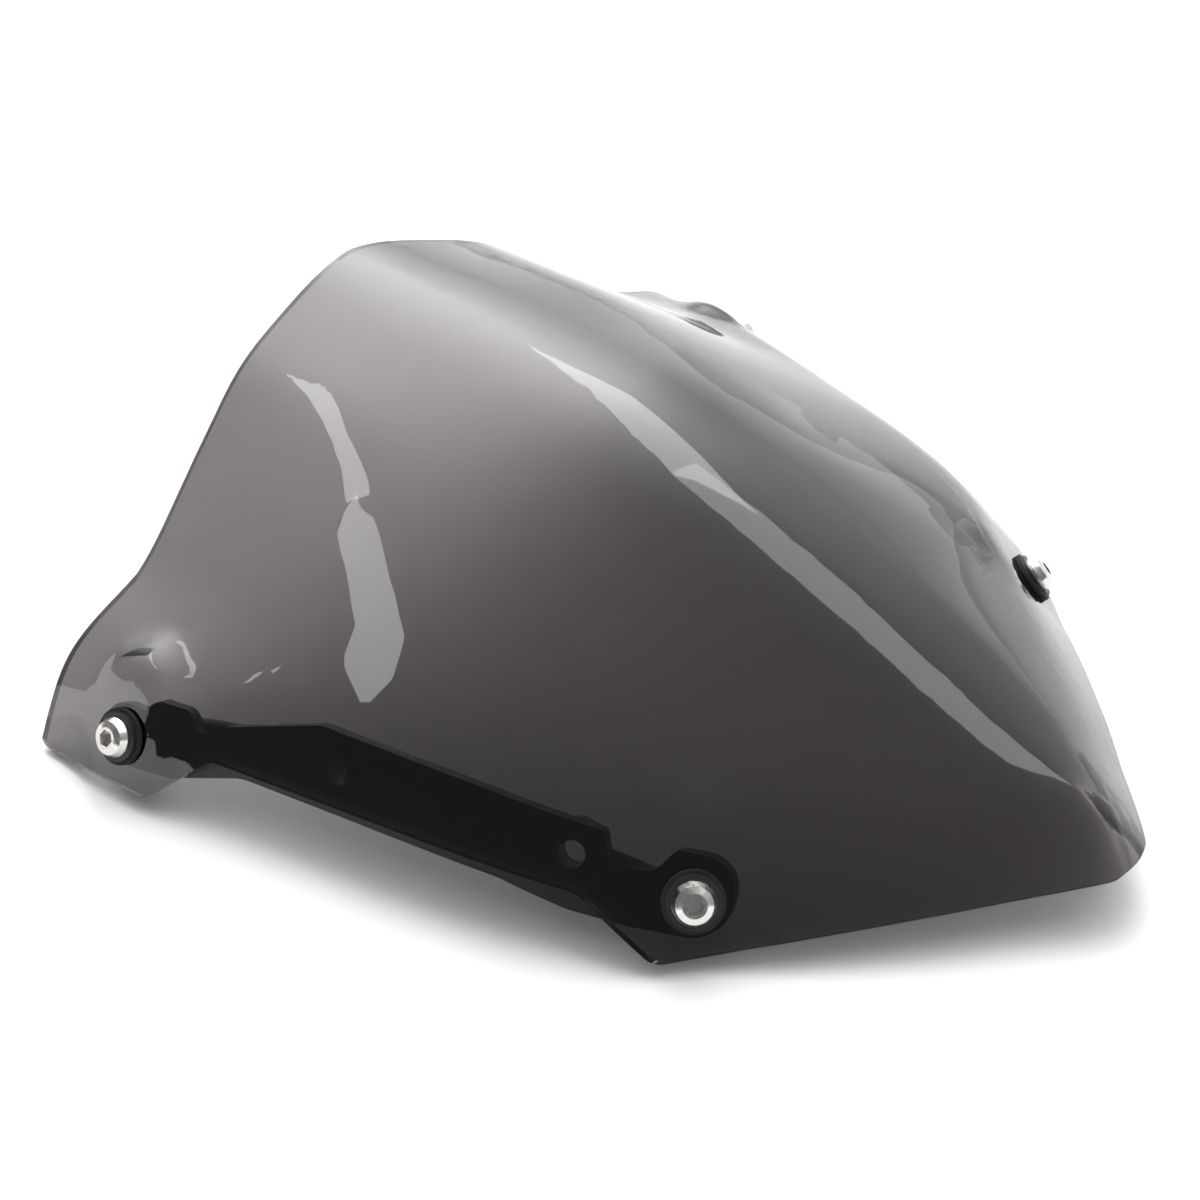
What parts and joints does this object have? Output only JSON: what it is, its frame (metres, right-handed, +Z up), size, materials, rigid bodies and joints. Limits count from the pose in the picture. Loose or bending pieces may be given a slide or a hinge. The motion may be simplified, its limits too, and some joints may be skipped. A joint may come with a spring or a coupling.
{
  "type": "motorcycle windshield screen",
  "caption": "Smoke-tinted motorcycle windshield screen with a domed crest and flared ears, screwed through rubber grommets to black side brackets.",
  "frame": {"origin": "middle of the footprint, on the plane that the lower corners of the screen rest on", "axes": "+X is the rider's left, -Y is forward, +Z is up"},
  "size_m": [0.278, 0.261, 0.0866],
  "materials": {
    "tinted_sheet": "polished, clear smoke tint",
    "bracket_plastic": "moulded, satin",
    "stainless_steel": "bright",
    "black_nylon": "satin",
    "black_rubber": "matt",
    "brass": "turned",
    "plated_steel": "black zinc plated"
  },
  "bodies": {
    "root": {"screen": "tinted_sheet", "right_bracket": "bracket_plastic", "left_bracket": "bracket_plastic", "front_right_screw": "stainless_steel", "front_right_washer": "black_nylon", "front_right_grommet": "black_rubber", "front_right_insert": "brass", "front_right_collar": "plated_steel", "rear_right_screw": "stainless_steel", "rear_right_washer": "black_nylon", "rear_right_grommet": "black_rubber", "rear_right_insert": "brass", "rear_right_collar": "plated_steel", "front_left_screw": "stainless_steel", "front_left_washer": "black_nylon", "front_left_grommet": "black_rubber", "front_left_insert": "brass", "front_left_collar": "plated_steel", "rear_left_screw": "stainless_steel", "rear_left_washer": "black_nylon", "rear_left_grommet": "black_rubber", "rear_left_insert": "brass", "rear_left_collar": "plated_steel"}
  },
  "joints": []
}
